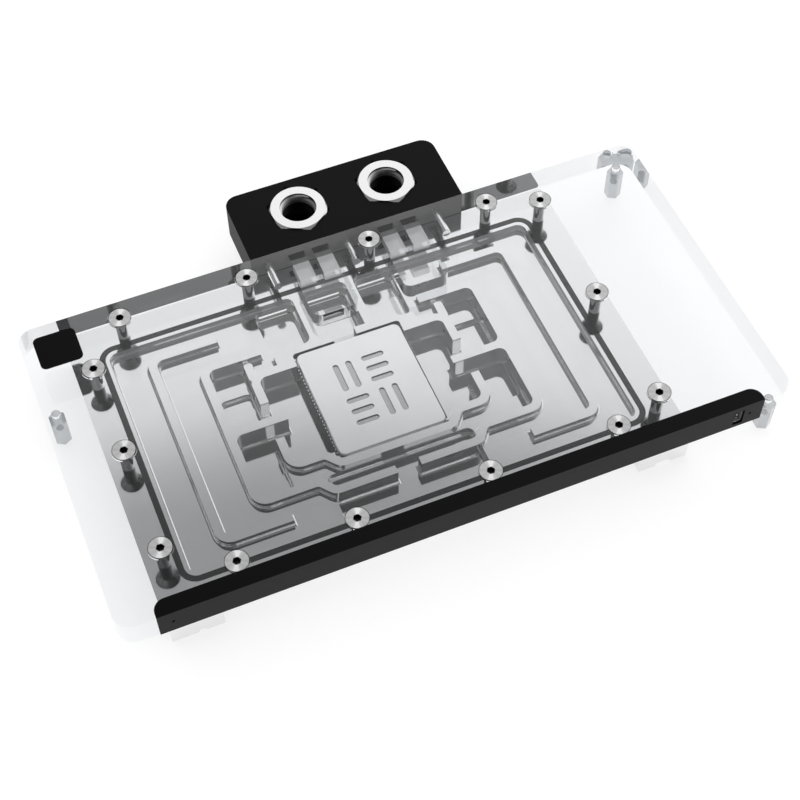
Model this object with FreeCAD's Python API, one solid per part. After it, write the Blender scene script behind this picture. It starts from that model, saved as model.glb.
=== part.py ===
import FreeCAD, Part
import math
import os

V = FreeCAD.Vector

# Frame: X along the card, Y from the light strip (-Y) to the ports (+Y), Z up.
# The origin is under the processor: on the plane where the pads meet the board.
# All sizes are in millimetres.

# ---- driving dimensions ----
# heights
stack_height = 14.7          # contact plane to the joint of metal and acrylic
joint_gap = 0.03             # the seals hold joined faces this far apart
cover_thickness = 9.75       # from the metal's joint face to the cover's top
plate_thickness = 5.0
# acrylic cover
cover_margin_left = 14.6     # past the metal plate
cover_margin_right = 34.8
cover_margin_front = 3.6
cover_corner = 6.0
# metal plate
plate_margin_left = 5.9      # past the centres of the cover screws
plate_margin_right = 6.9
plate_margin_front = 5.85
plate_margin_back = 6.45
plate_corner = 1.5
terminal_gap = 0.3           # metal plate to terminal block
# seal round the flow chamber
seal_half_x = 79.8
seal_half_y = 47.75
seal_corner = 5.0
seal_width = 2.1
seal_depth = 1.6
seal_land = 1.25             # metal between seal and chamber
# flow chamber and its guide ribs
chamber_depth = 2.8
chamber_corner = 3.2
floor_fillet = 0.8
cutter_radius = 2.5          # the end mill's, left in every inner corner
rib_width = 3.0
rib_bend = 4.0               # centre-line radius of a rib's corner
outer_lane_left = 12.8       # chamber wall to the outer ribs' centre lines
outer_lane_right = 11.3
outer_lane_y = 7.35
outer_rib_end_left = 41.2
outer_rib_end_right = 42.4
middle_lane = 15.0           # from the left outer rib, the same on both sides
middle_lane_top = 10.6       # from the outer ribs' rows
middle_lane_top_end = 8.9
middle_lane_low = 8.9
middle_lane_front = 3.9
middle_rib_gap = 4.1         # half the passage between its two ends
ring_rib_x = 34.85
ring_rib_low = -20.25
ring_rib_front = -25.05
ring_rib_high = 18.15
ring_rib_back = 23.3
ring_shoulder = 24.0         # the ring rib's sides run on to here at the back
shoulder_corner = 1.0
ring_gap_low = -8.4          # passage through the ring rib's side walls
ring_gap_high = 6.5
jog_outer = 29.0             # where a rib jogs towards the middle
jog_inner = 21.6
jog_run = 4.0                # X length of a jog's sloping stretch
jog_bend = 3.0
divider_y = -0.95
divider_reach = 29.7
inlet_wall = 9.8             # centre lines of the two walls beside the inlet
# deeper pockets
trough_depth = 6.4
core_depth = 8.4
trough_half_x = 25.7
trough_step = 0.4            # chamber wall to trough
pocket_corner = 3.0
# fins under the jet plate
fin_half_x = 19.5
fin_low = -23.4
fin_high = 21.6
fin_pitch = 1.5
fin_thickness = 0.75
fin_channel = 4.1            # half the distribution channel over the fins
fin_channel_depth = 2.4
# jet plate
jet_thickness = 1.2
jet_clearance = 0.35
jet_edge = 0.5               # bevel round its top face
motif_depth = 0.5
motif_groove = 2.1
motif_pitch = 4.6
motif_cell_x = 8.0
motif_cell_y = 11.6
motif_gap = 3.0
# underside of the metal plate
core_block_x = 53.0
core_block_y = 45.0
core_floor = 2.2             # metal left under the deepest pocket
pedestal_x = 24.0
pedestal_low = -28.0
pedestal_high = 26.0
pad_width = 17.6
pad_setback = 1.3            # from the plate's back edge
pad_inset_left = 0.5
pad_notch = 2.1
pad_notch_depth = 1.4
pad_notch_at = 9.1
right_pad_lip = 6.2
right_pad_slot = 5.5
right_pad_slot_depth = 1.7
boss_pitch = 64.0
boss_radius = 3.5
board_hole_radius = 1.25
board_hole_depth = 6.0
# screws through the cover
screw_radius = 2.0
screw_head_radius = 3.9
screw_depth = 4.0            # thread in the metal plate
screw_fit = 0.05
screw_lip_fit = 0.25         # the cover's hole round each head, and how deep it goes
screw_lip_depth = 0.6
socket_flats = 2.4
socket_depth = 1.6
screw_offset = 4.1           # centres, from the seal's centre line
top_row = [-69.75, -24.45, 20.8, 65.8]
front_row = [-63.8, -24.45, 20.8, 65.9]
left_column = [-38.5, 0.0, 34.7]
right_column = [-45.4, 0.0, 45.4]
# ports
port_first_x = 2.9
port_spacing = 33.6
port_setback = 16.2          # from the cover's back edge
thread_radius = 6.58         # G1/4
insert_flats = 19.6          # hexagon across flats
insert_height = 3.4
insert_proud = 0.5
insert_turn = -25.6          # degrees, one pair of flats against X
insert_fit = 0.05
thread_depth = 8.6           # from the insert's top
# terminal block
terminal_left = 20.7
terminal_right = 59.4
terminal_depth = 30.3
terminal_height = 13.95
terminal_corner = 5.0
port_hole_radius = 5.0
face_wall = 2.2              # left in front of the galleries, behind the face seal
gallery_depth = 3.6
gallery_floor = 1.6
# flow cavity in the cover, below each port
cavity_offset = 2.6          # cavity centre to port centre, in X
cavity_half_x = 8.4
cavity_setback = 12.8
cavity_length = 16.5
cavity_height = 6.1
slot_width = 6.0
slot_rib = 2.8
slot_floor = 2.8             # acrylic left over the perimeter seal
# seal of each flow cavity, in the terminal's front face
face_seal_half_x = 9.6
face_seal_half_z = 3.0
face_seal_width = 1.4
face_seal_depth = 1.0
face_seal_corner = 2.2
# screws of the terminal
terminal_screw_x = [-14.7, 14.4, 48.7]
terminal_screw_z = 4.9
terminal_screw_radius = 1.5
terminal_screw_reach = 10.7  # into the cover
terminal_head_radius = 2.75
terminal_head_height = 3.0
terminal_fit = 0.1
terminal_head_sink = 0.2
tip_clearance = 0.3
thread_fit = 0.02            # screws in tapped acrylic
# light cover
light_end_left = 12.1        # short of the cover's ends
light_end_right = 11.8
light_wall = 1.0
light_proud = 0.4            # in front of the cover
light_flange = 5.75
light_corner = 4.0
light_lift = 0.1             # its lower edge above the joint
light_slot_depth = 3.5
light_slot_end = 6.8         # solid acrylic at each end, for the screws
light_fit = 0.2
# light strip
board_thickness = 0.8
board_height = 7.0
chip_pitch = 16.6
chip_size = 3.5
chip_height = 1.4
# its socket and window
window_end = 7.0             # from the light cover's right end
window_width = 3.6
window_low = 1.6
window_high = 8.4
window_fit = 0.05
connector_wall = 0.4
pin_pitch = 1.5
pin_side = 0.5
# small screws of the light cover
rail_screw_inset = 4.75      # from the light cover's ends
rail_screw_z = 5.5
rail_screw_radius = 0.7
rail_head_radius = 1.1
rail_head_height = 0.6
rail_screw_length = 6.0
rail_hole_fit = 0.05
rail_key_radius = 0.5
# badge
badge_inset_x = 4.7
badge_inset_y = 4.8
badge_width = 14.4
badge_height = 13.6
badge_corner = 2.0
badge_thickness = 0.4
# clear posts
post_flats = 5.2
post_length = 11.5
post_hole_radius = 1.25      # M3 tapped from below
post_hole_depth = 6.0
post_stud_radius = 1.45
post_stud_length = 2.8
stud_fit = 0.05
left_post_inset = 4.3
left_post_y = 27.1
back_post_inset_x = 5.8
back_post_inset_y = 3.7
front_post_inset_x = 6.3
front_post_inset_y = 4.0

# ---- places that follow from the sizes ----
chamber_half_x = seal_half_x - seal_width / 2 - seal_land
chamber_half_y = seal_half_y - seal_width / 2 - seal_land
outer_rib_left = chamber_half_x - outer_lane_left
outer_rib_right = chamber_half_x - outer_lane_right
outer_rib_y = chamber_half_y - outer_lane_y
middle_rib_x = outer_rib_left - middle_lane
middle_rib_top = outer_rib_y - middle_lane_top
middle_rib_top_end = outer_rib_y - middle_lane_top_end
middle_rib_low = middle_lane_low - outer_rib_y
middle_rib_front = middle_lane_front - outer_rib_y
screw_row_y = seal_half_y + screw_offset
screw_column_x = seal_half_x + screw_offset
plate_left = screw_column_x + plate_margin_left
plate_right = screw_column_x + plate_margin_right
plate_front = screw_row_y + plate_margin_front
plate_back = screw_row_y + plate_margin_back
pad_back = plate_back - pad_setback
cover_left = plate_left + cover_margin_left
cover_right = plate_right + cover_margin_right
cover_front = plate_front + cover_margin_front
cover_back = plate_back + terminal_gap
port_y = cover_back + port_setback
cavity_back = cover_back - cavity_setback
cavity_front = cavity_back - cavity_length
terminal_screw_tip = cover_back - terminal_screw_reach
light_left = cover_left - light_end_left
light_right = cover_right - light_end_right
light_front = cover_front + light_proud
light_flange_back = light_front - light_flange
window_right = light_right - window_end
window_left = window_right - window_width
rail_screw_x = [rail_screw_inset - light_left, light_right - rail_screw_inset]
posts = {"left": (left_post_inset - cover_left, left_post_y),
         "back": (cover_right - back_post_inset_x, cover_back - back_post_inset_y),
         "front": (cover_right - front_post_inset_x, front_post_inset_y - cover_front)}

# ---- levels ----
joint_z = stack_height
cover_z = joint_z + joint_gap
top_z = joint_z + cover_thickness
plate_z = joint_z - plate_thickness
core_z = joint_z - core_depth - core_floor
light_top = top_z + light_wall
terminal_front = cover_back + joint_gap
terminal_back = terminal_front + terminal_depth
overshoot = 1.0              # cutters run past the faces they open


def box(x0, x1, y0, y1, z0, z1):
    return Part.makeBox(x1 - x0, y1 - y0, z1 - z0, V(x0, y0, z0))


def disc(x, y, z0, z1, radius):
    return Part.makeCylinder(radius, z1 - z0, V(x, y, z0))


def roundWire(corners, radii, z):
    """Closed outline of straight runs, with each corner rounded by its own radius."""
    count = len(corners)
    cuts = []
    for i in range(count):
        here = V(corners[i][0], corners[i][1], z)
        back = V(corners[i - 1][0], corners[i - 1][1], z) - here
        ahead = V(corners[(i + 1) % count][0], corners[(i + 1) % count][1], z) - here
        back.normalize()
        ahead.normalize()
        half = back.getAngle(ahead) / 2
        radius = radii[i]
        if radius <= 0:
            cuts.append((here, here, here))
            continue
        reach = radius / math.tan(half)
        middle = back + ahead
        middle.normalize()
        apex = here + middle * (radius / math.sin(half) - radius)
        cuts.append((here + back * reach, apex, here + ahead * reach))
    edges = []
    for i in range(count):
        start, apex, end = cuts[i]
        if radii[i] > 0:
            edges.append(Part.Arc(start, apex, end).toShape())
        follow = cuts[(i + 1) % count][0]
        if (follow - end).Length > 1e-6:
            edges.append(Part.LineSegment(end, follow).toShape())
    return Part.Wire(edges)


def prism(corners, radii, z0, z1):
    face = Part.Face(roundWire(corners, radii, z0))
    return face.extrude(V(0, 0, z1 - z0))


def slab(x0, x1, y0, y1, z0, z1, radius):
    corners = [(x0, y0), (x1, y0), (x1, y1), (x0, y1)]
    return prism(corners, [radius] * 4, z0, z1)


def rib(path, bends, width, z0, z1, closed=False):
    """Wall of constant width along a path, its bends rounded about the centre line."""
    count = len(path)
    sides = ([], [])
    for i in range(count):
        here = V(path[i][0], path[i][1], 0)
        before = V(path[i - 1][0], path[i - 1][1], 0)
        after = V(path[(i + 1) % count][0], path[(i + 1) % count][1], 0)
        first = not closed and i == 0
        last = not closed and i == count - 1
        way_in = (after - here) if first else (here - before)
        way_out = (here - before) if last else (after - here)
        way_in.normalize()
        way_out.normalize()
        turn = way_in.x * way_out.y - way_in.y * way_out.x
        normal = V(-way_in.y - way_out.y, way_in.x + way_out.x, 0)
        normal.normalize()
        reach = (width / 2) / (normal.x * -way_in.y + normal.y * way_in.x)
        for side, sign in zip(sides, (1, -1)):
            point = here + normal * (reach * sign)
            radius = 0.0
            if not first and not last:
                radius = bends[i] - sign * math.copysign(width / 2, turn)
            side.append(((point.x, point.y), radius))
    if closed:
        shapes = []
        for side in sides:
            shapes.append(prism([p for p, r in side], [r for p, r in side], z0, z1))
        shapes.sort(key=lambda s: s.Volume)
        return shapes[1].cut(shapes[0])
    ring = sides[0] + sides[1][::-1]
    return prism([p for p, r in ring], [r for p, r in ring], z0, z1)


def mirrored(path):
    return [(-x, y) for x, y in path]


def roundCorners(shape, radius):
    """Round the upright inner corners of a milled space, where its walls leave room."""
    step = 0.05
    edges = []
    for edge in shape.Edges:
        if abs(edge.tangentAt(edge.FirstParameter).z) < 1 - 1e-6:
            continue
        middle = edge.CenterOfMass
        faces = shape.ancestorsOfType(edge, Part.Face)
        out = [face.normalAt(*face.Surface.parameter(middle)) for face in faces]
        room = min(math.hypot(face.BoundBox.XLength, face.BoundBox.YLength) for face in faces)
        if abs(out[0].dot(out[1])) > 0.9 or room < 2 * radius:
            continue
        if not shape.isInside(middle - out[0] * step + out[1] * step, 1e-6, False):
            edges.append(edge)
    return shape.makeFillet(radius, edges) if edges else shape


def filletFloor(shape, z, radius):
    """Round the edges round the floor at height z, as the end mill leaves them."""
    edges = []
    for edge in shape.Edges:
        heights = [abs(v.Point.z - z) for v in edge.Vertexes]
        if max(heights) < 1e-6:
            edges.append(edge)
    return shape.makeFillet(radius, edges)


# ---- guide ribs, full height of the deepest pocket ----
def guideRibs():
    low = joint_z - core_depth - overshoot
    high = joint_z
    shapes = []
    outer = [
        (-outer_rib_end_left, outer_rib_y),
        (-outer_rib_left, outer_rib_y),
        (-outer_rib_left, -outer_rib_y),
        (-outer_rib_end_left, -outer_rib_y),
    ]
    shapes.append(rib(outer, [0, rib_bend, rib_bend, 0], rib_width, low, high))
    outer = [
        (outer_rib_end_right, outer_rib_y),
        (outer_rib_right, outer_rib_y),
        (outer_rib_right, -outer_rib_y),
        (outer_rib_end_right, -outer_rib_y),
    ]
    shapes.append(rib(outer, [0, rib_bend, rib_bend, 0], rib_width, low, high))
    middle = [
        (-middle_rib_top_end, middle_rib_top),
        (-middle_rib_x, middle_rib_top),
        (-middle_rib_x, middle_rib_low),
        (-jog_outer, middle_rib_low),
        (-jog_outer + jog_run, middle_rib_front),
        (-middle_rib_gap, middle_rib_front),
    ]
    bends = [0, rib_bend, rib_bend, jog_bend, jog_bend, 0]
    for path in (middle, mirrored(middle)):
        shapes.append(rib(path, bends, rib_width, low, high))
    ring_side = [
        (ring_rib_x, ring_rib_low),
        (ring_rib_x, ring_rib_high),
        (jog_inner + jog_run / 2, ring_rib_high),
        (jog_inner - jog_run / 2, ring_rib_back),
    ]
    front_side = [
        (jog_inner + jog_run / 2, ring_rib_low),
        (jog_inner - jog_run / 2, ring_rib_front),
    ]
    ring = ring_side + mirrored(ring_side)[::-1] + mirrored(front_side) + front_side[::-1]
    bends = [rib_bend, rib_bend] + [jog_bend] * 4 + [rib_bend, rib_bend] + [jog_bend] * 4
    wall = rib(ring, bends, rib_width, low, high, closed=True)
    reach = ring_rib_x + rib_width
    wall = wall.cut(box(-reach, reach, ring_gap_low, ring_gap_high, low, high))
    core_high = ring_rib_high - rib_width / 2
    for side in (-1, 1):
        x0, x1 = sorted((side * (ring_rib_x - rib_width / 2), side * (ring_rib_x + rib_width / 2)))
        shapes.append(slab(x0, x1, core_high, ring_shoulder, low, high, shoulder_corner))
        x0, x1 = sorted((side * fin_half_x, side * (jog_inner + jog_run)))
        shapes.append(box(x0, x1, core_high, ring_rib_back, low, high))
    feed = box(-middle_rib_gap, middle_rib_gap, fin_high - rib_width, ring_rib_back + rib_width, low, high)
    shapes.append(wall.cut(feed))
    chamber_y = seal_half_y - seal_width / 2 - seal_land
    for side in (-1, 1):
        inner = side * divider_reach
        outer_end = side * middle_rib_x
        y0 = divider_y - rib_width / 2
        x0, x1 = sorted((inner, outer_end))
        shapes.append(box(x0, x1, y0, y0 + rib_width, low, high))
        x0 = side * inlet_wall - rib_width / 2
        shapes.append(box(x0, x0 + rib_width, ring_rib_back, chamber_y + overshoot, low, high))
    whole = shapes[0].multiFuse(shapes[1:])
    return whole.removeSplitter()


def flowSpace(ribs):
    """Everything milled out of the metal plate inside the seal."""
    half_x = chamber_half_x
    half_y = chamber_half_y
    top = joint_z + overshoot
    inner_x = middle_rib_x - rib_width / 2
    ring_out = ring_rib_x + rib_width / 2
    ring_in = ring_rib_x - rib_width / 2
    core_low = ring_rib_low + rib_width / 2
    core_high = ring_rib_high - rib_width / 2
    pocket_low = middle_rib_low + rib_width / 2
    pocket_high = middle_rib_top - rib_width / 2
    inner_bend = rib_bend - rib_width / 2
    trough_y = half_y - trough_step
    trough_z = joint_z - trough_depth
    core_z0 = joint_z - core_depth
    chamber_z = joint_z - chamber_depth
    spaces = []
    parts = [(slab(-half_x, half_x, -half_y, half_y, chamber_z, top, chamber_corner), chamber_z)]
    for side in (-1, 1):
        x0, x1 = sorted((side * inner_x, side * ring_out))
        parts.append((slab(x0, x1, pocket_low, pocket_high, trough_z, top, inner_bend), trough_z))
        x0, x1 = sorted((side * inner_x, side * ring_out))
        parts.append((box(x0, x1, core_low, core_high, core_z0, top), core_z0))
        x0, x1 = sorted((side * (ring_out + overshoot), side * (ring_in - overshoot)))
        parts.append((box(x0, x1, ring_gap_low, ring_gap_high, core_z0, top), core_z0))
    parts.append((slab(-ring_in, ring_in, core_low, core_high, core_z0, top, inner_bend), core_z0))
    back = ring_rib_back + rib_width / 2
    front = ring_rib_front - rib_width / 2
    parts.append((box(-trough_half_x, trough_half_x, back, trough_y, trough_z, top), trough_z))
    parts.append((box(-trough_half_x, trough_half_x, -trough_y, front, trough_z, top), trough_z))
    parts.append((slab(-fin_half_x, fin_half_x, fin_low, fin_high, core_z0, top, pocket_corner), core_z0))
    by_level = {}
    for shape, level in parts:
        key = round(level, 3)
        by_level.setdefault(key, []).append(shape)
    for level, shapes in by_level.items():
        merged = shapes[0] if len(shapes) == 1 else shapes[0].multiFuse(shapes[1:]).removeSplitter()
        merged = merged.cut(ribs).removeSplitter()
        for solid in merged.Solids:
            spaces.append(filletFloor(roundCorners(solid, cutter_radius), level, floor_fillet))
    feed_z = joint_z - jet_thickness - fin_channel_depth
    spaces.append(box(-middle_rib_gap, middle_rib_gap, fin_high - overshoot, back + overshoot, feed_z, top))
    return spaces[0].multiFuse(spaces[1:])


def screwPlaces():
    """Centres of the cover screws, all just outside the seal."""
    places = [(x, screw_row_y) for x in top_row]
    places += [(x, -screw_row_y) for x in front_row]
    places += [(-screw_column_x, y) for y in left_column]
    places += [(screw_column_x, y) for y in right_column]
    return places


def bossPlaces():
    half = boss_pitch / 2
    return [(-half, -half), (half, -half), (half, half), (-half, half)]


def fins():
    """Thin walls under the jet plate, lower in the middle where the coolant spreads."""
    low = joint_z - core_depth - overshoot / 2
    high = joint_z - jet_thickness
    count = int((fin_high - fin_low - fin_pitch) / fin_pitch)
    first = (fin_low + fin_high - (count - 1) * fin_pitch - fin_thickness) / 2
    shapes = []
    for i in range(count):
        y = first + i * fin_pitch
        fin = box(-fin_half_x, fin_half_x, y, y + fin_thickness, low, high)
        dip = box(-fin_channel, fin_channel, y, y + fin_thickness, high - fin_channel_depth, high + overshoot)
        shapes.append(fin.cut(dip))
    return shapes


def sidePads():
    """Long pads that stand on the board's power stages; their front ends are stepped."""
    x0 = pad_inset_left - plate_left
    left = box(x0, x0 + pad_width, -plate_front, pad_back, 0, plate_z)
    notch = x0 + pad_notch_at
    left = left.cut(box(notch, notch + pad_notch, -plate_front - overshoot, pad_back + overshoot,
                        -overshoot, pad_notch_depth))
    x0 = plate_right - pad_width
    right = box(x0, plate_right, -plate_front, pad_back, 0, plate_z)
    slot = x0 + right_pad_lip
    right = right.cut(box(slot, slot + right_pad_slot, -plate_front - overshoot, pad_back + overshoot,
                          -overshoot, right_pad_slot_depth))
    return [left, right]


def coldPlate(space):
    body = slab(-plate_left, plate_right, -plate_front, plate_back, plate_z, joint_z, plate_corner)
    below = [slab(-core_block_x, core_block_x, -core_block_y, core_block_y, core_z, plate_z + 0.5, pocket_corner)]
    below.append(slab(-pedestal_x, pedestal_x, pedestal_low, pedestal_high, 0, core_z + 0.5, 1.0))
    below += sidePads()
    below += [disc(x, y, 0, core_z + 0.5, boss_radius) for x, y in bossPlaces()]
    body = body.multiFuse(below).removeSplitter()
    outer = slab(-seal_half_x - seal_width / 2, seal_half_x + seal_width / 2,
                 -seal_half_y - seal_width / 2, seal_half_y + seal_width / 2,
                 joint_z - seal_depth, joint_z + overshoot, seal_corner + seal_width / 2)
    inner = slab(-seal_half_x + seal_width / 2, seal_half_x - seal_width / 2,
                 -seal_half_y + seal_width / 2, seal_half_y - seal_width / 2,
                 joint_z - seal_depth, joint_z + overshoot, seal_corner - seal_width / 2)
    cutters = [space, outer.cut(inner)]
    for x, y in screwPlaces():
        cutters.append(disc(x, y, joint_z - screw_depth, joint_z + overshoot, screw_radius + screw_fit))
    for x, y in bossPlaces():
        cutters.append(disc(x, y, -overshoot, board_hole_depth, board_hole_radius))
    body = body.cut(cutters[0].multiFuse(cutters[1:]))
    return body.multiFuse(fins()).removeSplitter()


def perimeterSeal():
    half_x = seal_half_x + seal_width / 2
    half_y = seal_half_y + seal_width / 2
    outer = slab(-half_x, half_x, -half_y, half_y, joint_z - seal_depth, joint_z, seal_corner + seal_width / 2)
    half_x -= seal_width
    half_y -= seal_width
    inner = slab(-half_x, half_x, -half_y, half_y, joint_z - seal_depth - overshoot, joint_z + overshoot,
                 seal_corner - seal_width / 2)
    return outer.cut(inner)


def jetPlate():
    """Flush cover over the fins, with a plain pattern of parallel grooves."""
    gap = jet_clearance
    low = joint_z - jet_thickness
    plate = slab(-fin_half_x + gap, fin_half_x - gap, fin_low + gap, fin_high - gap, low, joint_z,
                 pocket_corner - gap)
    rim = [e for e in plate.Edges if min(v.Point.z for v in e.Vertexes) > joint_z - 1e-6]
    plate = plate.makeChamfer(jet_edge, rim)
    middle_y = (fin_low + fin_high) / 2
    grooves = []
    for column in (-1, 1):
        for row in (-1, 1):
            x = column * (motif_cell_x + motif_gap) / 2
            y = middle_y + row * (motif_cell_y + motif_gap) / 2
            along_x = column * row > 0
            length = motif_cell_x if along_x else motif_cell_y
            across = motif_cell_y if along_x else motif_cell_x
            count = int(across / motif_pitch) + 1
            for i in range(count):
                shift = (i - (count - 1) / 2) * motif_pitch
                half_x = length / 2 if along_x else motif_groove / 2
                half_y = motif_groove / 2 if along_x else length / 2
                cx = x if along_x else x + shift
                cy = y + shift if along_x else y
                grooves.append(slab(cx - half_x, cx + half_x, cy - half_y, cy + half_y,
                                    joint_z - motif_depth, joint_z + overshoot, motif_groove * 0.48))
    return plate.cut(grooves[0].multiFuse(grooves[1:]))


def screwSolid(x, y, fit):
    """Countersunk screw; with a fit it is the hole that takes it."""
    radius = screw_radius + fit
    head = screw_head_radius + fit
    cone = head - radius
    low = joint_z - screw_depth
    shank = disc(x, y, low, top_z, radius)
    return shank.fuse(Part.makeCone(radius, head, cone, V(x, y, top_z - cone)))


def hexagon(x, y, z0, z1, flats, turn=0.0):
    """Six-sided prism; with no turn its corners point along X."""
    corner = flats / math.sqrt(3)
    ring = []
    for i in range(6):
        angle = math.radians(60 * i + turn)
        ring.append((x + corner * math.cos(angle), y + corner * math.sin(angle)))
    return prism(ring, [0] * 6, z0, z1)


def coverScrews():
    shapes = []
    for x, y in screwPlaces():
        socket = hexagon(x, y, top_z - socket_depth, top_z + overshoot, socket_flats)
        shapes.append(screwSolid(x, y, 0).cut(socket))
    return Part.makeCompound(shapes)


def ports():
    return [port_first_x, port_first_x + port_spacing]


def flowCavity(port_x):
    """Pocket over the metal plate with two slots that lead back to the terminal."""
    x = port_x - cavity_offset
    pocket = slab(x - cavity_half_x, x + cavity_half_x, cavity_front, cavity_back + pocket_corner,
                  joint_z - overshoot, joint_z + cavity_height, pocket_corner)
    pocket = pocket.cut(box(x - cavity_half_x - 1, x + cavity_half_x + 1, cavity_back, cover_back,
                            joint_z - 2 * overshoot, top_z))
    return pocket.multiFuse(flowSlots(x, cavity_back - overshoot, cover_back + overshoot,
                                      joint_z + slot_floor, joint_z + cavity_height))


def flowSlots(x, y0, y1, z0, z1):
    left = box(x - slot_rib / 2 - slot_width, x - slot_rib / 2, y0, y1, z0, z1)
    right = box(x + slot_rib / 2, x + slot_rib / 2 + slot_width, y0, y1, z0, z1)
    return [left, right]


def lightSlot():
    """Room for the light strip along the front edge, and the shallow seat of its cover."""
    front = -cover_front - overshoot
    seat = box(-light_left - light_fit, light_right + light_fit, front, -light_front + light_wall + light_fit,
               joint_z - overshoot, top_z + overshoot)
    slot = box(-light_left + light_slot_end, light_right - light_slot_end, front,
               -cover_front + light_slot_depth, joint_z - overshoot, top_z + overshoot)
    return seat.fuse(slot)


def terminalScrew(x, fit):
    """Cap screw along Y, its head sunk in the terminal's back."""
    z = joint_z + terminal_screw_z
    tip = terminal_screw_tip - (tip_clearance if fit else 0.0)
    neck = terminal_back - terminal_head_height
    shank = Part.makeCylinder(terminal_screw_radius + fit, neck - tip, V(x, tip, z), V(0, 1, 0))
    length = terminal_head_height + (overshoot if fit else -terminal_head_sink)
    head = Part.makeCylinder(terminal_head_radius + fit, length, V(x, neck, z), V(0, 1, 0))
    return shank.fuse(head)


def terminalScrews():
    shapes = []
    for x in terminal_screw_x:
        screw = terminalScrew(x, 0)
        mouth = V(x, terminal_back - terminal_head_sink - socket_depth, joint_z + terminal_screw_z)
        key = Part.makeCylinder(socket_flats / 2, socket_depth + overshoot, mouth, V(0, 1, 0))
        shapes.append(screw.cut(key))
    return Part.makeCompound(shapes)


def railScrew(x, fit):
    z = joint_z + rail_screw_z
    front = -light_front
    shank = Part.makeCylinder(rail_screw_radius + fit, rail_screw_length, V(x, front, z), V(0, 1, 0))
    head = Part.makeCone(rail_head_radius + fit, rail_screw_radius + fit, rail_head_height,
                         V(x, front, z), V(0, 1, 0))
    return shank.fuse(head)


def railScrews():
    shapes = []
    for x in rail_screw_x:
        z = joint_z + rail_screw_z
        key = Part.makeCylinder(rail_key_radius, overshoot + rail_head_height,
                                V(x, -light_front - overshoot, z), V(0, 1, 0))
        shapes.append(railScrew(x, 0).cut(key))
    return Part.makeCompound(shapes)


def coverPlate():
    body = slab(-cover_left, cover_right, -cover_front, cover_back, cover_z, top_z, cover_corner)
    cutters = [screwSolid(x, y, screw_fit) for x, y in screwPlaces()]
    cutters += [disc(x, y, top_z - screw_lip_depth, top_z + overshoot, screw_head_radius + screw_lip_fit)
                for x, y in screwPlaces()]
    cutters += [flowCavity(x) for x in ports()]
    cutters += [terminalScrew(x, thread_fit) for x in terminal_screw_x]
    cutters += [railScrew(x, thread_fit) for x in rail_screw_x]
    cutters.append(lightSlot())
    for x, y in posts.values():
        cutters.append(disc(x, y, joint_z - overshoot, joint_z + post_stud_length + stud_fit,
                            post_stud_radius + stud_fit))
    return body.cut(cutters[0].multiFuse(cutters[1:]))


def portInsert(x):
    """Hexagonal collar round the port's mouth, its top corners rounded off by a cone."""
    low = top_z + insert_proud - insert_height
    high = top_z + insert_proud
    reach = insert_flats / math.sqrt(3) + insert_height
    cone_height = reach - insert_flats / 2
    cone = Part.makeCone(reach, insert_flats / 2, cone_height, V(x, port_y, high - cone_height))
    body = hexagon(x, port_y, low, high, insert_flats, insert_turn).common(cone)
    return body.cut(disc(x, port_y, low - overshoot, high + overshoot, thread_radius))


def faceSeal(x, fit):
    """Rounded rectangle of seal cord round the two slots, in the terminal's front face."""
    z = joint_z + (slot_floor + cavity_height) / 2
    half = face_seal_width / 2
    depth = face_seal_depth
    rings = []
    for sign in (1, -1):
        dx = face_seal_half_x + sign * half
        dz = face_seal_half_z + sign * half
        grow = 0 if sign > 0 else overshoot
        y0 = -fit if sign > 0 else -overshoot
        ring = slab(x - dx, x + dx, -dz, dz, y0, depth + grow, face_seal_corner + sign * half)
        ring.rotate(V(0, 0, 0), V(1, 0, 0), -90)
        ring.translate(V(0, terminal_front, z))
        rings.append(ring)
    return rings[0].cut(rings[1])


def terminalBlock():
    """Black block on the cover's back edge: two threaded ports, each over a gallery to the slots."""
    low = top_z - terminal_height
    corners = [(-terminal_left, terminal_front), (terminal_right, terminal_front),
               (terminal_right, terminal_back), (-terminal_left, terminal_back)]
    body = prism(corners, [0, 0, terminal_corner, terminal_corner], low, top_z)
    seat = top_z + insert_proud - insert_height
    thread_end = top_z + insert_proud - thread_depth
    gallery = low + gallery_floor
    inside = terminal_front + face_wall
    cutters = []
    for port_x in ports():
        cutters.append(hexagon(port_x, port_y, seat, top_z + overshoot,
                               insert_flats + 2 * insert_fit, insert_turn))
        cutters.append(disc(port_x, port_y, thread_end, seat + overshoot, thread_radius))
        cutters.append(disc(port_x, port_y, gallery, thread_end + overshoot, port_hole_radius))
        x = port_x - cavity_offset
        cutters += flowSlots(x, cover_back - overshoot, inside + gallery_depth,
                             joint_z + slot_floor, joint_z + cavity_height)
        cutters += flowSlots(x, inside, inside + gallery_depth, gallery, joint_z + cavity_height)
        cutters += flowSlots(x, inside, port_y + port_hole_radius / 2, gallery, gallery + gallery_depth)
        cutters.append(faceSeal(x, overshoot))
    cutters += [terminalScrew(x, terminal_fit) for x in terminal_screw_x]
    return body.cut(cutters[0].multiFuse(cutters[1:])).removeSplitter()


def lightCover():
    """Black angle: a front wall over the light strip and a flange on the acrylic."""
    low = joint_z + light_lift
    wall = box(-light_left, light_right, -light_front, light_wall - light_front, low, light_top)
    corners = [(-light_left, -light_front), (light_right, -light_front),
               (light_right, -light_flange_back), (-light_left, -light_flange_back)]
    flange = prism(corners, [0, 0, light_corner, light_corner], top_z + joint_gap, light_top)
    body = wall.fuse(flange).removeSplitter()
    window = box(window_left, window_right, -light_front - overshoot, -light_front + light_wall + overshoot,
                 joint_z + window_low, joint_z + window_high)
    cutters = [window] + [railScrew(x, rail_hole_fit) for x in rail_screw_x]
    return body.cut(cutters[0].multiFuse(cutters[1:]))


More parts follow.
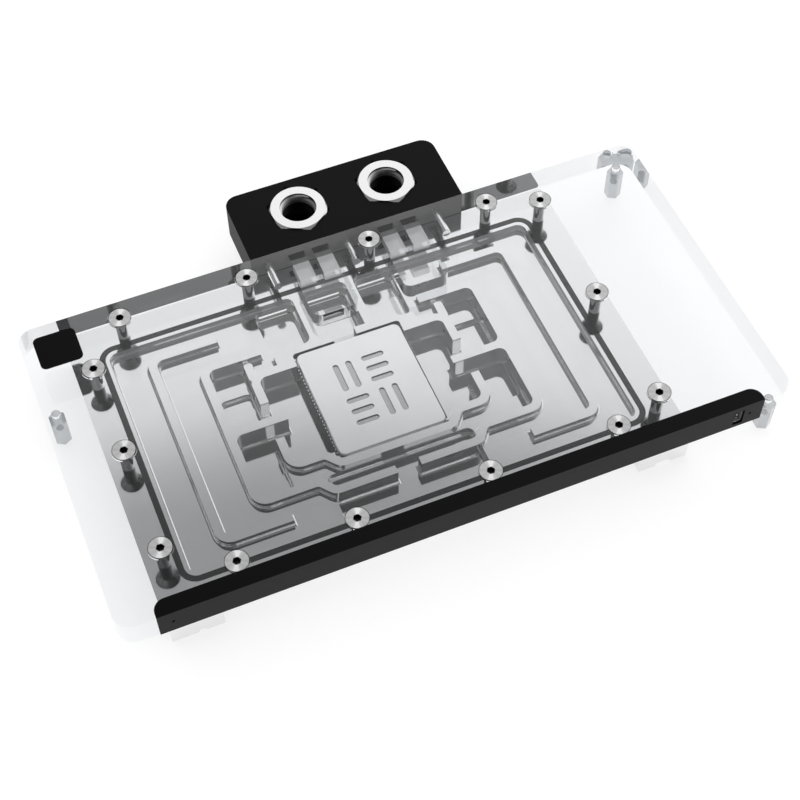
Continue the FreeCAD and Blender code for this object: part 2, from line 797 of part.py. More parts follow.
def stripPlane():
    """Y of the light strip's front face; it lies against the front wall's inside."""
    return -light_front + light_wall


def ledBoard():
    y = stripPlane()
    x0 = -light_left + light_slot_end + light_fit
    x1 = window_left - light_fit
    middle = joint_z + cover_thickness / 2
    return box(x0, x1, y, y + board_thickness, middle - board_height / 2, middle + board_height / 2)


def ledChips():
    y = stripPlane() + board_thickness
    x0 = -light_left + light_slot_end + light_fit
    x1 = window_left - light_fit
    count = int((x1 - x0 - chip_size) / chip_pitch) + 1
    first = (x0 + x1 - (count - 1) * chip_pitch) / 2
    middle = joint_z + cover_thickness / 2
    shapes = []
    for i in range(count):
        x = first + i * chip_pitch
        shapes.append(box(x - chip_size / 2, x + chip_size / 2, y, y + chip_height,
                          middle - chip_size / 2, middle + chip_size / 2))
    return Part.makeCompound(shapes)


def ledConnector():
    y = stripPlane()
    back = -cover_front + light_slot_depth - light_fit
    x1 = window_right - window_fit
    z0 = joint_z + window_low + window_fit
    z1 = joint_z + window_high - window_fit
    x0 = window_left - light_fit
    body = box(x0, x1 + light_fit, y, back, z0, z1)
    wall = connector_wall
    hollow = box(window_left + wall, x1 - wall, y - overshoot, back - wall, z0 + wall, z1 - wall)
    return body.cut(hollow)


def connectorPins():
    y = stripPlane()
    back = -cover_front + light_slot_depth - light_fit - connector_wall
    x = (window_left + window_right) / 2
    z = joint_z + (window_low + window_high) / 2
    shapes = []
    for i in (-1, 0, 1):
        shapes.append(box(x - pin_side / 2, x + pin_side / 2, y + 0.2, back,
                          z + i * pin_pitch - pin_side / 2, z + i * pin_pitch + pin_side / 2))
    return Part.makeCompound(shapes)


def badge():
    x0 = badge_inset_x - cover_left
    y1 = cover_back - badge_inset_y
    low = top_z + joint_gap
    return slab(x0, x0 + badge_width, y1 - badge_height, y1, low, low + badge_thickness, badge_corner)


def post(x, y):
    low = joint_z - post_length
    body = hexagon(x, y, low, joint_z, post_flats, 30)
    body = body.fuse(disc(x, y, joint_z, joint_z + post_stud_length, post_stud_radius))
    return body.cut(disc(x, y, low - overshoot, low + post_hole_depth, post_hole_radius))


def save(name, shape):
    shape.exportStep("parts/" + name + ".step")


os.makedirs("parts", exist_ok=True)
space = flowSpace(guideRibs())
save("cold_plate", coldPlate(space))
save("jet_plate", jetPlate())
save("perimeter_seal", perimeterSeal())
save("cover_plate", coverPlate())
save("cover_screws", coverScrews())
save("terminal_block", terminalBlock())
for side, port_x in zip(("left", "right"), ports()):
    save("port_insert_" + side, portInsert(port_x))
    save("terminal_seal_" + side, faceSeal(port_x - cavity_offset, 0))
save("terminal_screws", terminalScrews())
save("light_cover", lightCover())
save("rail_screws", railScrews())
save("led_board", ledBoard())
save("led_chips", ledChips())
save("led_connector", ledConnector())
save("connector_pins", connectorPins())
save("badge", badge())
for name, (x, y) in posts.items():
    save("standoff_" + name, post(x, y))
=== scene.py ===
import bpy
import math
from mathutils import Euler, Matrix, Vector


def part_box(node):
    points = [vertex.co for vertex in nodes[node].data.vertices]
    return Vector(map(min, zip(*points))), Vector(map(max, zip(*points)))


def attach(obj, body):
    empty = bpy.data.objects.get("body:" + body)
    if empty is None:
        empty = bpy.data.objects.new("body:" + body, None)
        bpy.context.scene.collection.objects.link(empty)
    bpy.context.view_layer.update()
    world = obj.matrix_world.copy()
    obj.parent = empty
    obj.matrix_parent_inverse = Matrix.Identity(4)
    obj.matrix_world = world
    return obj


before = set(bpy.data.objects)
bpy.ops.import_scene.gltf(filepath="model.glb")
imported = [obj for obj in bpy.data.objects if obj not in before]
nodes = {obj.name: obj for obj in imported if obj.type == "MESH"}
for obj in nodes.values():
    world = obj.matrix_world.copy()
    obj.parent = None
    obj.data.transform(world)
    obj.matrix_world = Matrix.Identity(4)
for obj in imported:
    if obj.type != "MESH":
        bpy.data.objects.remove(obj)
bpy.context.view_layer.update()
mm = 0.001
print("frame loaded")


def linear(code):
    # sRGB hex text to linear colour
    parts = [int(code[i:i + 2], 16) / 255 for i in (1, 3, 5)]
    return [p / 12.92 if p <= 0.04045 else ((p + 0.055) / 1.055) ** 2.4 for p in parts] + [1.0]


def grey(level):
    return linear("#" + format(level, "02x") * 3)


def add(tree, kind, settings=None, **links):
    # one node: its settings, then its inputs, each a value or the socket it is linked from
    node = tree.nodes.new(kind)
    for key, value in (settings or {}).items():
        setattr(node, key, value)
    for key, value in links.items():
        name = key.replace("_", " ")
        socket = node.inputs[int(key[1:])] if key[0] == "i" and key[1:].isdigit() else node.inputs[name]
        if isinstance(value, bpy.types.NodeSocket):
            tree.links.new(value, socket)
        else:
            socket.default_value = value
    return node


def newMaterial(name):
    material = bpy.data.materials.new(name)
    material.use_nodes = True
    tree = material.node_tree
    tree.nodes.clear()
    out = tree.nodes.new("ShaderNodeOutputMaterial")
    return material, tree, out


def setRamp(node, stops):
    ramp = node.color_ramp
    while len(ramp.elements) > 1:
        ramp.elements.remove(ramp.elements[-1])
    ramp.elements[0].position = stops[0][0]
    ramp.elements[0].color = stops[0][1]
    for place, colour in stops[1:]:
        ramp.elements.new(place).color = colour
    return node.outputs["Color"]


def dress(material, *names):
    for name in names:
        data = nodes[name].data
        data.materials.clear()
        data.materials.append(material)


def allTrue(tree, tests):
    # 1 where every test holds, each a value, an operation and a limit
    result = None
    for value, operation, limit in tests:
        test = add(tree, "ShaderNodeMath", {"operation": operation}, i0=value, i1=limit)
        if result is not None:
            test = add(tree, "ShaderNodeMath", {"operation": "MULTIPLY"}, i0=result, i1=test.outputs[0])
        result = test.outputs[0]
    return result


def objectPoint(tree):
    return add(tree, "ShaderNodeTexCoord").outputs["Object"]


# polished nickel over milled copper: a near mirror with faint cloudiness and a fine swirl
nickel = {"colour": grey(240), "roughness": 0.075, "cloud": 0.02, "cloudSize": 16.667 * mm,
          "swirlSize": 1.11 * mm}


def makeNickel():
    material, tree, out = newMaterial("polishedNickel")
    point = objectPoint(tree)
    cloud = add(tree, "ShaderNodeTexNoise", Vector=point, Scale=1 / nickel["cloudSize"], Detail=3.0)
    rough = add(tree, "ShaderNodeMapRange", Value=cloud.outputs["Fac"],
                To_Min=nickel["roughness"] - nickel["cloud"], To_Max=nickel["roughness"] + nickel["cloud"])
    swirl = add(tree, "ShaderNodeTexNoise", Vector=point, Scale=1 / nickel["swirlSize"], Detail=2.0)
    bump = add(tree, "ShaderNodeBump", Strength=0.02, Distance=0.1 * mm, Height=swirl.outputs["Fac"])
    shader = add(tree, "ShaderNodeBsdfPrincipled", Base_Color=nickel["colour"], Metallic=1.0,
                 Roughness=rough.outputs["Result"], Normal=bump.outputs["Normal"])
    tree.links.new(shader.outputs["BSDF"], out.inputs["Surface"])
    return material


# satin nickel of the jet plate: the same metal, softly blasted so it mirrors only broad light
blasted = {"colour": grey(250), "roughness": 0.13, "spread": 0.04, "grain": 0.455 * mm,
           "groove": grey(196), "depth": 0.25 * mm}


def makeSatinPlate():
    material, tree, out = newMaterial("blastedNickel")
    point = objectPoint(tree)
    fine = add(tree, "ShaderNodeTexNoise", Vector=point, Scale=1 / blasted["grain"], Detail=3.0)
    rough = add(tree, "ShaderNodeMapRange", Value=fine.outputs["Fac"],
                To_Min=blasted["roughness"] - blasted["spread"],
                To_Max=blasted["roughness"] + blasted["spread"])
    bump = add(tree, "ShaderNodeBump", Strength=0.05, Distance=0.03 * mm, Height=fine.outputs["Fac"])
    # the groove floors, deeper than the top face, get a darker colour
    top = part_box("jet_plate")[1][2]
    height = add(tree, "ShaderNodeSeparateXYZ", Vector=point)
    sunk = add(tree, "ShaderNodeMath", {"operation": "LESS_THAN"}, i0=height.outputs["Z"],
               i1=top - blasted["depth"])
    tone = add(tree, "ShaderNodeMix", {"data_type": "RGBA"}, Factor=sunk.outputs[0])
    tone.inputs[6].default_value = blasted["colour"]
    tone.inputs[7].default_value = blasted["groove"]
    shader = add(tree, "ShaderNodeBsdfPrincipled", Base_Color=tone.outputs[2], Metallic=1.0,
                 Roughness=rough.outputs["Result"], Normal=bump.outputs["Normal"])
    tree.links.new(shader.outputs["BSDF"], out.inputs["Surface"])
    return material


# turned steel of the terminal's screws: pale streaks along their threads
brightSteel = {"colour": grey(248), "roughness": 0.25, "grain": 0.4 * mm}
# the cover screws' shanks and sockets get a darker steel colour, a painted shade, as little light comes down
# to them
paintedShadeSteel = {"colour": grey(72), "roughness": 0.3, "grain": 0.4 * mm}
# tinned contact pins: pale, a little dull
pinMetal = {"colour": grey(214), "roughness": 0.25, "grain": 0.4 * mm}


def makeSmallMetal(name, metal):
    material, tree, out = newMaterial(name)
    point = objectPoint(tree)
    fine = add(tree, "ShaderNodeTexNoise", Vector=point, Scale=1 / metal["grain"], Detail=2.0)
    rough = add(tree, "ShaderNodeMapRange", Value=fine.outputs["Fac"],
                To_Min=metal["roughness"] - 0.06, To_Max=metal["roughness"] + 0.08)
    bump = add(tree, "ShaderNodeBump", Strength=0.1, Distance=0.03 * mm, Height=fine.outputs["Fac"])
    shader = add(tree, "ShaderNodeBsdfPrincipled", Base_Color=metal["colour"], Metallic=1.0,
                 Roughness=rough.outputs["Result"], Normal=bump.outputs["Normal"])
    tree.links.new(shader.outputs["BSDF"], out.inputs["Surface"])
    return material


# satin nickel of the port collars, bright on top; down the bore the colour is darkened, a painted shade
# where light hardly reaches
insertNickel = {"colour": grey(238), "roughness": 0.16, "paintedBoreShade": grey(34), "radius": 6.9 * mm,
                "grain": 0.667 * mm, "edge": 0.3 * mm, "lip": 1.3 * mm, "threadLip": 4.5 * mm}


def makeInsertNickel(node, lip):
    material, tree, out = newMaterial("satinNickelPaintedBoreShade")
    point = objectPoint(tree)
    low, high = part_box(node)
    offset = add(tree, "ShaderNodeVectorMath", {"operation": "SUBTRACT"}, i0=point,
                 i1=((low[0] + high[0]) / 2, (low[1] + high[1]) / 2, 0))
    flat = add(tree, "ShaderNodeVectorMath", {"operation": "MULTIPLY"}, i0=offset.outputs[0], i1=(1, 1, 0))
    reach = add(tree, "ShaderNodeVectorMath", {"operation": "LENGTH"}, i0=flat.outputs[0])
    inside = add(tree, "ShaderNodeMath", {"operation": "LESS_THAN"}, i0=reach.outputs["Value"],
                 i1=insertNickel["radius"])
    height = add(tree, "ShaderNodeSeparateXYZ", Vector=point)
    deep = add(tree, "ShaderNodeMapRange", Value=height.outputs["Z"], From_Min=high[2] - lip,
               From_Max=high[2] - insertNickel["edge"], To_Min=1.0, To_Max=0.0)
    # painted shade: inside the bore and below the lip the colour goes dark
    shade = add(tree, "ShaderNodeMath", {"operation": "MULTIPLY"}, i0=inside.outputs[0],
                i1=deep.outputs["Result"])
    tone = add(tree, "ShaderNodeMix", {"data_type": "RGBA"}, Factor=shade.outputs[0])
    tone.inputs[6].default_value = insertNickel["colour"]
    tone.inputs[7].default_value = insertNickel["paintedBoreShade"]
    fine = add(tree, "ShaderNodeTexNoise", Vector=point, Scale=1 / insertNickel["grain"], Detail=3.0)
    rough = add(tree, "ShaderNodeMapRange", Value=fine.outputs["Fac"],
                To_Min=insertNickel["roughness"] - 0.05, To_Max=insertNickel["roughness"] + 0.06)
    shader = add(tree, "ShaderNodeBsdfPrincipled", Base_Color=tone.outputs[2], Metallic=1.0,
                 Roughness=rough.outputs["Result"])
    tree.links.new(shader.outputs["BSDF"], out.inputs["Surface"])
    return material


# clear acrylic, milled and polished: seen straight through, with glass-like reflection inside and
# outside its walls
# its satin grey is a painted reflection for the back wall against the terminal
acrylic = {"tint": (0.97, 0.975, 0.98, 1.0), "index": 1.49, "roughness": 0.0, "paintedReflectionGrey": grey(118)}
# the feed slots keep the cutter's fine frost, so they show as pale oblongs
frost = {"reach": 7.9 * mm, "rib": 1.5 * mm, "back": -4.9 * mm, "front": -12.9 * mm, "low": 2.7 * mm,
         "high": 6.25 * mm, "share": 0.45, "colour": grey(215)}
# clear nylon of the posts: greyer and duller than the acrylic
nylon = {"tint": (0.72, 0.73, 0.74, 1.0), "index": 1.45, "roughness": 0.15}


def clearSurface(tree, settings):
    surface = add(tree, "ShaderNodeNewGeometry")
    facing = add(tree, "ShaderNodeSeparateXYZ", Vector=surface.outputs["True Normal"])
    tilt = add(tree, "ShaderNodeMath", {"operation": "ABSOLUTE"}, i0=facing.outputs["Z"])
    level = add(tree, "ShaderNodeMath", {"operation": "GREATER_THAN"}, i0=tilt.outputs[0], i1=0.7)
    # a level face reflects the same from inside as from outside, an upright one mirrors from inside,
    # though not what the metal below throws back at it
    path = add(tree, "ShaderNodeLightPath")
    plain = add(tree, "ShaderNodeMath", {"operation": "MAXIMUM"}, i0=level.outputs[0],
                i1=path.outputs["Is Glossy Ray"])
    leaving = add(tree, "ShaderNodeMath", {"operation": "MULTIPLY"}, i0=plain.outputs[0],
                  i1=surface.outputs["Backfacing"])
    index = add(tree, "ShaderNodeMapRange", Value=leaving.outputs[0], To_Min=settings["index"],
                To_Max=1 / settings["index"])
    fresnel = add(tree, "ShaderNodeFresnel", IOR=index.outputs["Result"])
    # light that casts shadows passes whole
    lit = add(tree, "ShaderNodeMath", {"operation": "SUBTRACT"}, i0=1.0, i1=path.outputs["Is Shadow Ray"])
    share = add(tree, "ShaderNodeMath", {"operation": "MULTIPLY"}, i0=fresnel.outputs["Fac"],
                i1=lit.outputs[0])
    through = add(tree, "ShaderNodeBsdfTransparent", Color=settings["tint"])
    gloss = add(tree, "ShaderNodeBsdfGlossy", Color=(1, 1, 1, 1), Roughness=settings["roughness"])
    mix = add(tree, "ShaderNodeMixShader", Fac=share.outputs[0], i1=through.outputs["BSDF"],
              i2=gloss.outputs["BSDF"])
    return mix.outputs["Shader"], lit.outputs[0], facing.outputs["Y"]


def makeNylon():
    material, tree, out = newMaterial("clearNylon")
    clear = clearSurface(tree, nylon)[0]
    tree.links.new(clear, out.inputs["Surface"])
    return material


def makeAcrylic():
    material, tree, out = newMaterial("clearAcrylic")
    clear, lit, facingBack = clearSurface(tree, acrylic)
    place = add(tree, "ShaderNodeSeparateXYZ", Vector=objectPoint(tree))
    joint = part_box("cover_plate")[0][2]
    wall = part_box("terminal_seal_left")[0][1]
    slots = []
    for seal in ("terminal_seal_left", "terminal_seal_right"):
        low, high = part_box(seal)
        offset = add(tree, "ShaderNodeMath", {"operation": "SUBTRACT"}, i0=place.outputs["X"],
                     i1=(low[0] + high[0]) / 2)
        across = add(tree, "ShaderNodeMath", {"operation": "ABSOLUTE"}, i0=offset.outputs[0])
        slots.append(allTrue(tree, [(across.outputs[0], "GREATER_THAN", frost["rib"]),
                                    (across.outputs[0], "LESS_THAN", frost["reach"]),
                                    (place.outputs["Y"], "GREATER_THAN", wall + frost["front"]),
                                    (place.outputs["Y"], "LESS_THAN", wall + frost["back"]),
                                    (place.outputs["Z"], "GREATER_THAN", joint + frost["low"]),
                                    (place.outputs["Z"], "LESS_THAN", joint + frost["high"])]))
    either = add(tree, "ShaderNodeMath", {"operation": "MAXIMUM"}, i0=slots[0], i1=slots[1])
    frosted = add(tree, "ShaderNodeMath", {"operation": "MULTIPLY"}, i0=either.outputs[0], i1=lit)
    amount = add(tree, "ShaderNodeMath", {"operation": "MULTIPLY"}, i0=frosted.outputs[0], i1=frost["share"])
    scatter = add(tree, "ShaderNodeBsdfDiffuse", Color=frost["colour"])
    slotted = add(tree, "ShaderNodeMixShader", Fac=amount.outputs[0], i1=clear, i2=scatter.outputs["BSDF"])
    # against the terminal the back wall is painted a plain grey: a painted reflection in place of its own
    left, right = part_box("terminal_block")[0][0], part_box("terminal_block")[1][0]
    backward = add(tree, "ShaderNodeMath", {"operation": "ABSOLUTE"}, i0=facingBack)
    against = allTrue(tree, [(place.outputs["X"], "GREATER_THAN", left),
                             (place.outputs["X"], "LESS_THAN", right),
                             (place.outputs["Y"], "GREATER_THAN", wall - 0.5 * mm),
                             (backward.outputs[0], "GREATER_THAN", 0.7)])
    behind = add(tree, "ShaderNodeMath", {"operation": "MULTIPLY"}, i0=against, i1=lit)
    paintedReflectionGrey = add(tree, "ShaderNodeBsdfDiffuse", Color=acrylic["paintedReflectionGrey"])
    final = add(tree, "ShaderNodeMixShader", Fac=behind.outputs[0], i1=slotted.outputs["Shader"],
                i2=paintedReflectionGrey.outputs["BSDF"])
    tree.links.new(final.outputs["Shader"], out.inputs["Surface"])
    return material


def makeDull(name, settings):
    material, tree, out = newMaterial(name)
    point = objectPoint(tree)
    grain = add(tree, "ShaderNodeTexNoise", Vector=point, Scale=1 / settings["grain"], Detail=3.0)
    rough = add(tree, "ShaderNodeMapRange", Value=grain.outputs["Fac"],
                To_Min=settings["roughness"] - 0.05, To_Max=settings["roughness"] + 0.05)
    bump = add(tree, "ShaderNodeBump", Strength=settings["bump"], Distance=0.1 * mm,
               Height=grain.outputs["Fac"])
    shader = add(tree, "ShaderNodeBsdfPrincipled", Base_Color=settings["colour"], IOR=settings["index"],
                 Roughness=rough.outputs["Result"], Normal=bump.outputs["Normal"],
                 Specular_IOR_Level=settings.get("shine", 0.5))
    tree.links.new(shader.outputs["BSDF"], out.inputs["Surface"])
    return material


# machined acetal: deep black with a fine dull grain
acetal = {"colour": grey(9), "roughness": 0.5, "grain": 0.556 * mm,
          "bump": 0.08, "index": 1.48, "shine": 0.12}
# anodised aluminium of the light cover: satin black
anodised = {"colour": grey(5), "roughness": 0.4, "grain": 0.385 * mm,
            "bump": 0.06, "index": 1.5, "shine": 0.12}
# seal cord: dull black rubber
rubber = {"colour": grey(16), "roughness": 0.6, "grain": 0.333 * mm, "bump": 0.1, "index": 1.5}
# glossy black badge
badgeGloss = {"colour": grey(4), "roughness": 0.3, "grain": 1.11 * mm,
              "bump": 0.02, "index": 1.5, "shine": 0.1}
# milky resin over the chips
resin = {"colour": grey(225), "roughness": 0.25, "grain": 0.833 * mm, "bump": 0.02, "index": 1.45}
boardWhite = {"colour": grey(205), "roughness": 0.5, "grain": 0.667 * mm, "bump": 0.03, "index": 1.5}
socketGrey = {"colour": grey(120), "roughness": 0.4, "grain": 0.667 * mm, "bump": 0.03, "index": 1.5}

dress(makeNickel(), "cold_plate")
dress(makeSatinPlate(), "jet_plate")
dress(makeSmallMetal("turnedSteel", brightSteel), "terminal_screws")
# the cover screws take the darker steel of painted shade
dress(makeSmallMetal("paintedShadeSteel", paintedShadeSteel), "cover_screws")


# turned faces of the cover screws' heads: fine rings in the bump, and two pale wedges across each head
# painted into the colour as painted highlights
head = {"radius": 3.72 * mm, "socket": 1.45 * mm, "lift": 0.02 * mm, "roughness": 0.32,
        "highlightAngle": math.radians(67), "ring": 0.12 * mm, "apart": 9 * mm, "steps": 64,
        "highlightTones": [(0.0, grey(190)), (0.3, grey(204)), (0.75, grey(196)), (0.93, grey(214)),
                  (0.975, grey(250)), (1.0, grey(254))]}


def makeTurnedFace():
    material, tree, out = newMaterial("turnedFacePaintedHighlight")
    point = objectPoint(tree)
    parts = add(tree, "ShaderNodeSeparateXYZ", Vector=point)
    angle = add(tree, "ShaderNodeMath", {"operation": "ARCTAN2"}, i0=parts.outputs["Y"],
                i1=parts.outputs["X"])
    turnedTo = add(tree, "ShaderNodeMath", {"operation": "SUBTRACT"}, i0=angle.outputs[0], i1=head["highlightAngle"])
    wave = add(tree, "ShaderNodeMath", {"operation": "COSINE"}, i0=turnedTo.outputs[0])
    facing = add(tree, "ShaderNodeMath", {"operation": "ABSOLUTE"}, i0=wave.outputs[0])
    # noise read along the angle only gives the fine rays
    scaled = add(tree, "ShaderNodeCombineXYZ", X=facing.outputs[0], Y=wave.outputs[0])
    rays = add(tree, "ShaderNodeTexNoise", Vector=scaled.outputs[0], Scale=9.0, Detail=4.0)
    # painted highlight: the colour brightens towards the two wedge directions
    tone = add(tree, "ShaderNodeValToRGB", Fac=facing.outputs[0])
    ramp = setRamp(tone, head["highlightTones"])
    rayTone = add(tree, "ShaderNodeMapRange", Value=rays.outputs["Fac"], From_Min=0.3, From_Max=0.7,
                  To_Min=0.84, To_Max=1.06)
    colour = add(tree, "ShaderNodeVectorMath", {"operation": "SCALE"}, i0=ramp)
    tree.links.new(rayTone.outputs["Result"], colour.inputs["Scale"])
    far = add(tree, "ShaderNodeVectorMath", {"operation": "LENGTH"}, i0=point)
    spaced = add(tree, "ShaderNodeMath", {"operation": "MULTIPLY"}, i0=far.outputs["Value"],
                 i1=2 * math.pi / head["ring"])
    ring = add(tree, "ShaderNodeMath", {"operation": "SINE"}, i0=spaced.outputs[0])
    bump = add(tree, "ShaderNodeBump", Strength=0.15, Distance=0.01 * mm, Height=ring.outputs[0])
    shader = add(tree, "ShaderNodeBsdfPrincipled", Base_Color=colour.outputs[0], Metallic=0.35,
                 Roughness=head["roughness"], Normal=bump.outputs["Normal"])
    tree.links.new(shader.outputs["BSDF"], out.inputs["Surface"])
    return material


def headCentres(node):
    # middles of the flat tops, read from the node's own mesh
    points = [v.co for v in nodes[node].data.vertices]
    top = max(p.z for p in points)
    groups = []
    for p in points:
        if p.z < top - head["lift"] / 2:
            continue
        for group in groups:
            if (group[0] - p).length < head["apart"]:
                group.append(p)
                break
        else:
            groups.append([p])
    middles = []
    for group in groups:
        xs = [p.x for p in group]
        ys = [p.y for p in group]
        middles.append(Vector(((min(xs) + max(xs)) / 2, (min(ys) + max(ys)) / 2, top)))
    return middles


def makeHeads():
    count = head["steps"]
    inner = []
    for i in range(count):
        turn = 2 * math.pi * i / count
        # the inner edge follows the hexagon of the socket
        reach = head["socket"] * math.cos(math.pi / 6) / math.cos((turn % (math.pi / 3)) - math.pi / 6)
        inner.append((reach * math.cos(turn), reach * math.sin(turn), 0))
    outer = [(head["radius"] * math.cos(2 * math.pi * i / count),
              head["radius"] * math.sin(2 * math.pi * i / count), 0) for i in range(count)]
    faces = [(i, i + count, (i + 1) % count + count, (i + 1) % count) for i in range(count)]
    mesh = bpy.data.meshes.new("head_face")
    mesh.from_pydata(inner + outer, [], faces)
    mesh.materials.append(makeTurnedFace())
    for middle in headCentres("cover_screws"):
        piece = bpy.data.objects.new("head_face", mesh)
        piece.location = middle + Vector((0, 0, head["lift"]))
        bpy.context.scene.collection.objects.link(piece)
        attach(piece, "root")


makeHeads()


# helical thread of each port, cut through the collar and on down into the block
thread = {"pitch": 1.337 * mm, "outer": 6.57 * mm, "inner": 5.85 * mm, "top": 0.35 * mm, "depth": 8.0 * mm,
          "root": 0.06, "crest": 0.44, "runout": 20, "steps": 72}


def makeThread(node, material):
    low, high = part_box(node)
    middle = Vector(((low[0] + high[0]) / 2, (low[1] + high[1]) / 2, high[2] - thread["top"]))
    count = int(thread["depth"] / thread["pitch"] * thread["steps"])
    points = []
    faces = []
    for i in range(count + 1):
        turn = 2 * math.pi * i / thread["steps"]
        z = -thread["pitch"] * i / thread["steps"]
        # both ends run out to nothing over a quarter turn
        share = min(1, i / thread["runout"], (count - i) / thread["runout"])
        reach = thread["outer"] - (thread["outer"] - thread["inner"]) * share
        # the profile is the same read from above and below
        for radius, drop in ((thread["outer"], thread["root"]), (reach, thread["crest"]),
                             (reach, 1 - thread["crest"]), (thread["outer"], 1 - thread["root"])):
            across = Vector((radius * math.cos(turn), radius * math.sin(turn), z - drop * thread["pitch"]))
            points.append(middle + across)
        if i:
            a, b = 4 * (i - 1), 4 * i
            faces += [(a + k, b + k, b + k + 1, a + k + 1) for k in range(3)]
            faces.append((a + 3, b + 3, b, a))
    mesh = bpy.data.meshes.new(node + "_thread")
    mesh.from_pydata(points, [], faces)
    mesh.materials.append(material)
    piece = bpy.data.objects.new(node + "_thread", mesh)
    bpy.context.scene.collection.objects.link(piece)
    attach(piece, "root")


for port in ("port_insert_left", "port_insert_right"):
    dress(makeInsertNickel(port, insertNickel["lip"]), port)
    # each thread keeps the nickel colour in its upper turns and turns dark further down, a painted shade
    makeThread(port, makeInsertNickel(port, insertNickel["threadLip"]))
print("screw faces and threads done")

dress(makeAcrylic(), "cover_plate")
dress(makeNylon(), "standoff_left", "standoff_back", "standoff_front")
dress(makeDull("blackAcetal", acetal), "terminal_block")
dress(makeDull("blackAnodised", anodised), "light_cover", "rail_screws")
dress(makeDull("sealRubber", rubber), "perimeter_seal", "terminal_seal_left", "terminal_seal_right")
dress(makeDull("glossBadge", badgeGloss), "badge")
dress(makeDull("milkyResin", resin), "led_chips")
dress(makeDull("whiteBoard", boardWhite), "led_board")
dress(makeDull("socketPlastic", socketGrey), "led_connector")
dress(makeSmallMetal("tinnedBrass", pinMetal), "connector_pins")
print("materials done")


# white paper under the plate, a hair below its pads
ground = {"half": 4.0, "drop": 0.2 * mm, "colour": grey(225), "seen": (0.45, 0.45, 0.45, 1), "glow": 0.64}


def makeFloor():
    half = ground["half"]
    mesh = bpy.data.meshes.new("floor")
    mesh.from_pydata([(-half, -half, 0), (half, -half, 0), (half, half, 0), (-half, half, 0)], [],
                     [(0, 1, 2, 3)])
    floor = bpy.data.objects.new("floor", mesh)
    floor.location = (0, 0, -ground["drop"])
    bpy.context.scene.collection.objects.link(floor)
    # what camera, metal and glass see of the paper is lifted to white, and its shadows stay
    material, tree, out = newMaterial("whitePaper")
    path = add(tree, "ShaderNodeLightPath")
    seen = add(tree, "ShaderNodeMath", {"operation": "MAXIMUM"}, i0=path.outputs["Is Camera Ray"],
               i1=path.outputs["Is Glossy Ray"])
    seenToo = add(tree, "ShaderNodeMath", {"operation": "MAXIMUM"}, i0=seen.outputs[0],
                  i1=path.outputs["Is Transmission Ray"])
    colour = add(tree, "ShaderNodeMix", {"data_type": "RGBA"}, Factor=seenToo.outputs[0])
    colour.inputs[6].default_value = ground["colour"]
    colour.inputs[7].default_value = ground["seen"]
    paper = add(tree, "ShaderNodeBsdfDiffuse", Color=colour.outputs[2])
    lift = add(tree, "ShaderNodeMath", {"operation": "MULTIPLY"}, i0=seenToo.outputs[0], i1=ground["glow"])
    glow = add(tree, "ShaderNodeEmission", Color=(1, 1, 1, 1), Strength=lift.outputs[0])
    both = add(tree, "ShaderNodeAddShader", i0=paper.outputs["BSDF"], i1=glow.outputs["Emission"])
    tree.links.new(both.outputs["Shader"], out.inputs["Surface"])
    mesh.materials.append(material)


makeFloor()

# the room: even light for the dull surfaces; polished ones see it bright to the back and right and
# dark to the front and left, and darker overhead than low down
room = {"fill": 0.95, "seen": 1.0,
        "lit": [(0.0, 1.1), (0.6, 1.1), (0.75, 1.05), (0.781, 0.97), (0.808, 0.90), (0.817, 0.82),
                (0.826, 0.65), (0.835, 0.51), (0.844, 0.42), (0.853, 0.37), (0.87, 0.355), (1.0, 0.34)],
        "unlit": [(0.0, 0.25), (0.72, 0.22), (0.80, 0.14), (0.82, 0.10), (0.84, 0.035), (1.0, 0.03)],
        "front": (-0.6, 0.35), "left": (-0.09, 0.025)}


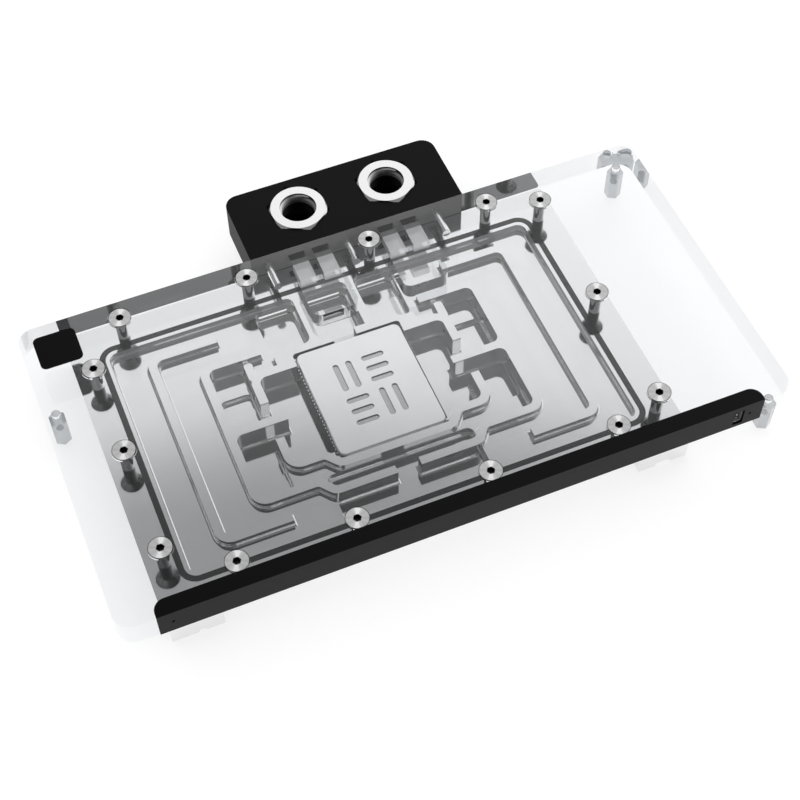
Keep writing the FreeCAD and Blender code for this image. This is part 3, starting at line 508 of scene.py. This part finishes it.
def makeWorld():
    world = bpy.data.worlds.new("softRoom")
    bpy.context.scene.world = world
    world.use_nodes = True
    tree = world.node_tree
    tree.nodes.clear()
    out = tree.nodes.new("ShaderNodeOutputWorld")
    direction = add(tree, "ShaderNodeTexCoord").outputs["Generated"]
    parts = add(tree, "ShaderNodeSeparateXYZ", Vector=direction)
    # both sides brighten from overhead towards the horizon; the lit side is far brighter
    sides = []
    for key in ("lit", "unlit"):
        height = add(tree, "ShaderNodeValToRGB", Fac=parts.outputs["Z"])
        sides.append(setRamp(height, [(place, (level, level, level, 1)) for place, level in room[key]]))
    front = add(tree, "ShaderNodeMapRange", {"interpolation_type": "SMOOTHSTEP"}, Value=parts.outputs["Y"],
                From_Min=room["front"][0], From_Max=room["front"][1])
    left = add(tree, "ShaderNodeMapRange", {"interpolation_type": "SMOOTHSTEP"}, Value=parts.outputs["X"],
               From_Min=room["left"][0], From_Max=room["left"][1])
    share = add(tree, "ShaderNodeMath", {"operation": "MULTIPLY"}, i0=front.outputs["Result"],
                i1=left.outputs["Result"])
    glossy = add(tree, "ShaderNodeMix", {"data_type": "RGBA"}, Factor=share.outputs[0])
    tree.links.new(sides[1], glossy.inputs[6])
    tree.links.new(sides[0], glossy.inputs[7])
    path = add(tree, "ShaderNodeLightPath")
    first = add(tree, "ShaderNodeMix", {"data_type": "RGBA"}, Factor=path.outputs["Is Glossy Ray"])
    first.inputs[6].default_value = (room["fill"],) * 3 + (1,)
    tree.links.new(glossy.outputs[2], first.inputs[7])
    second = add(tree, "ShaderNodeMix", {"data_type": "RGBA"}, Factor=path.outputs["Is Camera Ray"])
    tree.links.new(first.outputs[2], second.inputs[6])
    second.inputs[7].default_value = (1, 1, 1, 1)
    back = add(tree, "ShaderNodeBackground", Color=second.outputs[2], Strength=room["seen"])
    tree.links.new(back.outputs["Background"], out.inputs["Surface"])


makeWorld()
print("floor and light done")

# the lens stands in front of the light strip's left end and looks down across the cover
lens = {"focal": 71.27, "sensor": 36, "place": (-0.1060, -0.28875, 0.44643),
        "turn": (34.9065, 0.2494, -22.4289)}


def makeCamera():
    data = bpy.data.cameras.new("camera")
    data.lens = lens["focal"]
    data.sensor_width = lens["sensor"]
    data.clip_start = 0.01
    camera = bpy.data.objects.new("camera", data)
    turn = Euler([math.radians(angle) for angle in lens["turn"]]).to_matrix().to_4x4()
    camera.matrix_world = Matrix.Translation(lens["place"]) @ turn
    bpy.context.scene.collection.objects.link(camera)
    bpy.context.scene.camera = camera


makeCamera()
bpy.context.scene.view_settings.view_transform = "Standard"

print("scene done")
